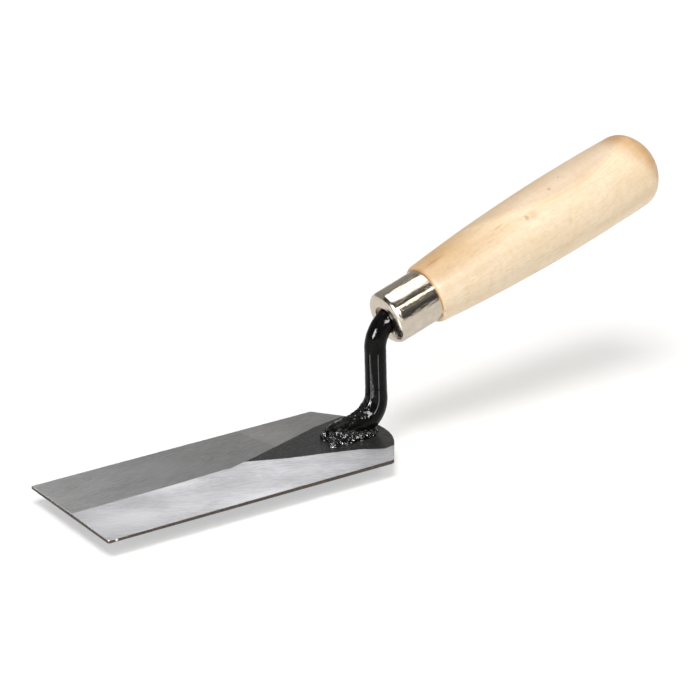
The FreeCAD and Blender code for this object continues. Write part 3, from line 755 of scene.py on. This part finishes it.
# Blobs of weld: centre X and Y, height of the centre, and radii along X, Y and Z.
WELD_BLOBS = [
    (39.8, -4.6, 1.5, 1.9, 2.0, 2.4),
    (40.9, -2.0, 2.0, 1.8, 2.2, 3.8),
    (40.4, 2.2, 1.6, 1.8, 2.2, 2.6),
    (42.8, -3.5, 3.0, 2.3, 2.1, 4.0),
    (43.4, 4.2, 1.6, 2.6, 2.4, 3.4),
    (45.0, -4.2, 2.6, 2.4, 2.1, 3.7),
    (44.6, -0.9, 3.9, 3.2, 2.8, 2.6),
    (47.6, -4.5, 2.2, 2.5, 2.0, 3.1),
    (47.6, 4.8, 1.6, 3.6, 2.6, 3.6),
    (50.4, -4.7, 1.9, 2.5, 2.0, 2.8),
    (52.4, 4.9, 1.6, 3.4, 2.5, 3.4),
    (53.2, -4.5, 1.7, 2.5, 2.0, 2.5),
    (55.6, -3.8, 1.5, 2.4, 2.1, 1.9),
    (57.0, 3.6, 1.5, 2.8, 2.3, 2.6),
    (58.6, -0.6, 1.5, 2.2, 2.6, 1.7),
]


def make_weld(material):
    """One lumpy run of weld round the foot, grown from overlapping blobs and spatter."""
    spatter, spread = 5, 0.8
    voxel, relaxing, sunk = 0.22, 6, 0.25
    dice = random.Random(5)
    blobs = list(WELD_BLOBS)
    for x, y, z, rx, ry, rz in WELD_BLOBS:
        for _ in range(spatter):
            turn = dice.uniform(0, 2 * math.pi)
            reach = dice.uniform(0.6, 0.95)
            radius = dice.uniform(0.5, 1.0)
            blobs.append(
                (
                    x + math.cos(turn) * rx * reach * spread,
                    y + math.sin(turn) * ry * reach * spread,
                    TOP + dice.uniform(0.3, 0.8) * (rz - 1.0),
                    radius,
                    radius,
                    radius * dice.uniform(0.8, 1.2),
                )
            )
    points, faces = [], []
    for x, y, z, rx, ry, rz in blobs:
        skin, skin_faces = ball(Vector((x, y, z)), (rx, ry, rz))
        start = len(points)
        points += skin
        faces += [tuple(start + index for index in face) for face in skin_faces]
    rough_piece = new_piece("weld_blobs", points, faces, [material])
    remesh = rough_piece.modifiers.new("grow", "REMESH")
    remesh.mode = "VOXEL"
    remesh.voxel_size = voxel * MM
    relax = rough_piece.modifiers.new("relax", "SMOOTH")
    relax.factor = 0.5
    relax.iterations = relaxing
    bpy.context.view_layer.update()
    finished = rough_piece.evaluated_get(bpy.context.evaluated_depsgraph_get())
    grown = bpy.data.meshes.new_from_object(finished)
    bpy.data.objects.remove(rough_piece)
    piece = bpy.data.objects.new("weld_bead", grown)
    bpy.context.scene.collection.objects.link(piece)
    normals = [vertex.normal.copy() for vertex in grown.vertices]
    for vertex, normal in zip(grown.vertices, normals):
        spot = vertex.co / MM
        lump = 0.30 * rough(spot, 0.8, 4, 1.0) + 0.16 * rough(spot, 1.9, 3, 9.0)
        spot = spot + normal * lump
        spot.z = max(spot.z, TOP - sunk)
        vertex.co = spot * MM
    for polygon in grown.polygons:
        polygon.use_smooth = True
    grown.materials.clear()
    grown.materials.append(material)
    return stands_for(piece, "weld_metal", "weld_near_side", "weld_far_side", "weld_toe")


# ---------------------------------------- ferrule and handle
def lathe(name, profile, sides, material, shape):
    """A turned piece from (station, radius) points, which make a loop or start and end on the axis.

    Shape moves each point that is off the axis.
    """
    points, faces, rings = [], [], []
    for station, radius in profile:
        if radius == 0:
            rings.append([len(points)])
            points.append(Vector((station, 0, 0)))
            continue
        ring = []
        for side in range(sides):
            angle = 2 * math.pi * side / sides
            ring.append(len(points))
            spot = Vector((station, radius * math.cos(angle), radius * math.sin(angle)))
            points.append(shape(spot))
        rings.append(ring)
    if len(rings[0]) > 1:
        rings.append(rings[0])
    for first, second in zip(rings, rings[1:]):
        for side in range(sides):
            following = (side + 1) % sides
            if len(first) == 1:
                faces.append((first[0], second[following], second[side]))
            elif len(second) == 1:
                faces.append((first[side], first[following], second[0]))
            else:
                faces.append((first[side], first[following], second[following], second[side]))
    return new_piece(name, [HANDLE_FRAME @ point for point in points], faces, [material])


def corner_arc(centre, radius, first, last, count):
    """(station, radius) points round a corner of a turned profile, angles in degrees."""
    angles = [math.radians(first + (last - first) * index / count) for index in range(count + 1)]
    return [(centre[0] + radius * math.cos(a), centre[1] + radius * math.sin(a)) for a in angles]


def make_ferrule(material):
    """Drawn cup: flat face with a punched hole, rounded corner and a thin rolled rear edge."""
    outer, wall, hole, length = FERRULE_RADIUS, FERRULE_WALL, FERRULE_HOLE, FERRULE_LENGTH
    corner, lip, rear = 2.3, 0.3, 0.25
    profile = (
        corner_arc((lip, hole + lip), lip, 180, 270, 4)[::-1]
        + [(0.0, hole + 0.9), (0.0, hole + 1.8)]
        + corner_arc((corner, outer - corner), corner, 180, 90, 14)
        + [(station, outer) for station in (4.0, 7.0, 10.0, 13.0, 16.0)]
        + corner_arc((length - rear, outer - rear), rear, 90, 0, 4)
        + corner_arc((length - rear, outer - wall + rear), rear, 0, -90, 4)
        + [(station, outer - wall) for station in (14.0, 8.0)]
        + corner_arc((corner, outer - corner), corner - wall, 90, 180, 6)
        + [(wall, hole + 1.0), (wall, hole + 0.1)]
    )
    flat_face, dent = 8.5, 0.03

    def dented(spot):
        radial = Vector((0, spot.y, spot.z))
        if radial.length <= flat_face:
            return spot
        amount = dent * rough((spot.x * 0.4, spot.y, spot.z), 0.16, 2, 4.0)
        return spot - radial.normalized() * abs(amount)

    piece = lathe("ferrule_cup", profile, 160, material, dented)
    return stands_for(piece, "nickel_plate", "ferrule")


def make_handle(material):
    """Turned grip: tenon and blind bore inside, a worn shoulder, a long bowed side and a domed butt."""
    fit_gap = 0.05
    tenon = FERRULE_RADIUS - FERRULE_WALL - fit_gap
    tenon_end, entry_radius = 0.78, 1.65
    bore, mouth = 4.6, 4.4
    run, drop = BELLY_STATION - FERRULE_LENGTH, BELLY_RADIUS - SHOULDER_RADIUS
    bow = (run**2 + drop**2) / (2 * drop)

    def side(station):
        return BELLY_RADIUS - bow + math.sqrt(bow**2 - (station - BELLY_STATION) ** 2)

    corner_height = BELLY_RADIUS - bow + math.sqrt(
        (bow - CORNER_RADIUS) ** 2 - (CORNER_STATION - BELLY_STATION) ** 2
    )
    depth = HANDLE_LENGTH - CORNER_STATION
    dome = (depth**2 + corner_height**2 - CORNER_RADIUS**2) / (2 * (depth - CORNER_RADIUS))
    dome_turn = math.degrees(math.atan2(corner_height, CORNER_STATION - HANDLE_LENGTH + dome))
    shoulder, spacing = FERRULE_LENGTH, 1.25
    count = int((CORNER_STATION - shoulder - 1) / spacing)
    stations = [shoulder + 0.9 + spacing * index for index in range(count)]
    profile = (
        [(TANG_DEPTH + 1, 0.0), (TANG_DEPTH + 1, bore * 0.6), (TANG_DEPTH, bore), (6.0, bore)]
        + [(tenon_end, mouth), (tenon_end, 6.5)]
        + corner_arc((2.4, tenon - entry_radius), entry_radius, 180, 90, 6)
        + [(10.0, tenon), (shoulder, tenon)]
        + [(shoulder, tenon + 0.5), (shoulder, SHOULDER_RADIUS - 0.6)]
        + corner_arc((shoulder + 0.5, SHOULDER_RADIUS - 0.5), 0.5, 180, 95, 6)
        + [(station, side(station)) for station in stations]
        + corner_arc((CORNER_STATION, corner_height), CORNER_RADIUS, 88, dome_turn, 12)
        + corner_arc((HANDLE_LENGTH - dome, 0), dome, dome_turn, 0, 22)[1:-1]
        + [(HANDLE_LENGTH, 0.0)]
    )

    # The grip is taken in a hair all over, so that no bump stands outside the turned shape.
    waviness, chipping, notch, notch_bearing = 0.05, 0.16, 1.1, -153
    shrink, proud = 0.03, 0.02

    def worn(spot):
        radial = Vector((0, spot.y, spot.z))
        if radial.length < mouth + 0.1 and spot.x < 1:
            # The mouth of the bore was drilled a little off centre.
            return spot + Vector((0, -0.15, -0.35))
        if radial.length < tenon + 0.3 or spot.x < shoulder:
            return spot
        amount = waviness * rough((spot.x * 0.5, spot.y, spot.z), 0.10, 2, 6.0)
        near_shoulder = hump(spot.x, shoulder, 1.6)
        amount += near_shoulder * chipping * rough(spot, 1.1, 3, 8.0)
        bearing = math.degrees(math.atan2(spot.z, spot.y))
        amount -= notch * near_shoulder * hump(bearing, notch_bearing, 9)
        return spot + radial.normalized() * (min(amount, proud) - shrink)

    piece = lathe("handle_grip", profile, 192, material, worn)
    return stands_for(piece, "pale_wood", "handle")


# ---------------------------------------- stage, light and camera
def soft_box(name, place, target, size, power, colour=(1, 1, 1)):
    """A rectangular light that faces a point, and that the camera doesn't see."""
    light = bpy.data.lights.new(name, "AREA")
    light.shape = "RECTANGLE"
    light.size, light.size_y = size
    light.energy = power
    light.color = colour
    box = bpy.data.objects.new(name, light)
    bpy.context.scene.collection.objects.link(box)
    box.location = place
    toward = Vector(target) - box.location
    box.rotation_euler = toward.to_track_quat("-Z", "Y").to_euler()
    box.visible_camera = False
    return box


def sky(bearing, height, distance):
    """A point in the studio. Bearing 0 is -Y and 90 is +X, as height is above the horizon, in degrees."""
    turn, rise = math.radians(bearing), math.radians(height)
    level = math.cos(rise)
    return Vector((math.sin(turn) * level, -math.cos(turn) * level, math.sin(rise))) * distance


def flag(name, bearings, heights, distance):
    """A curved black card that only shiny surfaces see."""
    black = Paint(name, Base_Color=(0.03, 0.03, 0.032), Roughness=1.0, Specular_IOR_Level=0.0).material
    columns, rows = 24, 12
    points = []
    for row in range(rows + 1):
        height = heights[0] + (heights[1] - heights[0]) * row / rows
        for column in range(columns + 1):
            bearing = bearings[0] + (bearings[1] - bearings[0]) * column / columns
            points.append(sky(bearing, height, distance / MM))
    faces = []
    for row in range(rows):
        for column in range(columns):
            corner = row * (columns + 1) + column
            faces.append((corner, corner + 1, corner + columns + 2, corner + columns + 1))
    card = new_piece(name, points, faces, [black])
    card.visible_camera = card.visible_diffuse = card.visible_shadow = card.visible_transmission = False


def make_stage():
    """A pale floor that glows a little, a dim white world, five soft boxes and two black cards."""
    glow, grey, light_grey, distant_grey = 0.36, 0.60, 0.615, 0.78
    floor_paint = Paint("studio_floor", Roughness=0.9, Specular_IOR_Level=0.1)
    floor_paint.finish(Emission_Color=(1, 1, 1), Emission_Strength=glow)
    mottle = floor_paint.noise(floor_paint.space, 0.004, 2.0)
    colour = floor_paint.mix(mottle, (grey,) * 3, (light_grey,) * 3)
    # The floor is paler far away, so that it has no edge against the world.
    away = floor_paint.vector("LENGTH", floor_paint.space, result=1)
    colour = floor_paint.mix(floor_paint.fit(away, 250.0, 900.0), colour, (distant_grey,) * 3)
    floor_material = floor_paint.finish(Base_Color=colour)
    sides, reach = 96, 9000.0
    rim = []
    for side in range(sides):
        turn = 2 * math.pi * side / sides
        rim.append((reach * math.cos(turn), reach * math.sin(turn), FLOOR))
    floor = new_piece("studio_floor", rim, [tuple(range(sides))], [floor_material], smooth=False)

    world = bpy.data.worlds.new("studio")
    bpy.context.scene.world = world
    world.use_nodes = True
    background = world.node_tree.nodes["Background"]
    background.inputs["Color"].default_value = (1.0, 0.995, 0.985, 1)
    background.inputs["Strength"].default_value = 0.40

    # Reflections see every box but the key. Only the key and the front strip light matt surfaces.
    middle = (0.05, 0, 0.03)
    soft_box("overhead", (0.1, 0.60, 3.0), (0.1, 0.60, 0.0), (3.0, 2.6), 62).visible_diffuse = False
    soft_box("front_strip", sky(18, 47, 2.5), middle, (1.2, 0.06), 9, (1.0, 0.93, 0.80))
    soft_box("key", sky(-46, 65.5, 3.0), middle, (1.3, 1.3), 74).visible_glossy = False
    soft_box("side_box", sky(-60, 17, 2.5), middle, (0.8, 0.9), 260).visible_diffuse = False
    soft_box("front_box", sky(-13, 34, 2.5), middle, (0.8, 0.5), 110).visible_diffuse = False
    flag("front_flag", (-125, 75), (3, 68), 3.6)
    flag("rear_flag", (75, 235), (47, 56), 3.6)


def make_camera():
    """A long lens in front of the near side, looking down at the tool."""
    bearing, height, roll = -35.75, 21.75, math.radians(0.90)
    place = Vector((-441.07, -680.75, 368.47)) * MM
    back = sky(bearing, height, 1.0)
    level = Vector((math.cos(math.radians(bearing)), math.sin(math.radians(bearing)), 0))
    up = back.cross(level)
    right = level * math.cos(roll) + up * math.sin(roll)
    up = up * math.cos(roll) - level * math.sin(roll)
    lens = bpy.data.cameras.new("camera")
    lens.sensor_width = 36.0
    lens.lens = 134.13
    lens.clip_end = 50
    camera = bpy.data.objects.new("camera", lens)
    bpy.context.scene.collection.objects.link(camera)
    turned = Matrix((right, up, back)).transposed().to_4x4()
    camera.matrix_world = Matrix.Translation(place) @ turned
    bpy.context.scene.camera = camera


# ---------------------------------------- the scene
NEAR_GRAIN, FAR_GRAIN = math.radians(-20), math.radians(8)
make_camera()
make_stage()
# The near facet's steel is painted paler and the far facet's darker, a painted reflection of the overhead
# box that lights one facet and not the other.
steel_near_painted_bright = ground_steel(
    "ground_steel_near_painted_bright", NEAR_GRAIN, (0.675, 0.675, 0.70), (0.46, 0.46, 0.485), 3.0,
    tip_tone=0.68, clip_tone=0.72,
)
steel_far_painted_dark = ground_steel(
    "ground_steel_far_painted_dark", FAR_GRAIN, (0.47, 0.47, 0.475), (0.35, 0.345, 0.345), 17.0,
    pale_patch=0.3, tip_tone=1.32,
)
steel_sole = ground_steel("ground_steel_sole", 0.0, (0.60, 0.60, 0.61), (0.44, 0.44, 0.45), 31.0)
flat_lacquer = lacquer("lacquer_flat", 0.9, 0.012, 0.22, 0.36, level=0.27, bloom=4.5)
# The scale under the bar's lacquer is on the inside of its lower bend.
scaly = ((50.5, 2.0, 11.5), (9.5, 4.2, 8.0), 0.25)
bar_lacquer = lacquer("lacquer_bar", 0.35, 0.03, 0.03, 0.07, level=0.07, rust=0.1, crumple=0.7, where=scaly)
weld_lacquer = lacquer("lacquer_weld", 0.8, 0.06, 0.04, 0.09, level=0.5, rust=0.4, crumple=1.3)
make_blade([steel_near_painted_bright, steel_far_painted_dark, flat_lacquer, sheared_steel(), steel_sole], NEAR_GRAIN, FAR_GRAIN)
# The seam line's grey is a painted highlight, for the light that the seams' ridges catch.
seam_highlight_grey = (0.045, 0.044, 0.047)
seam = Paint("lacquer_seam_highlight", Base_Color=seam_highlight_grey, Roughness=0.42, Specular_IOR_Level=0.6).material
make_shank([bar_lacquer, seam])
make_weld(weld_lacquer)
make_ferrule(nickel())
make_handle(pale_wood())
bpy.context.scene.view_settings.view_transform = "Standard"
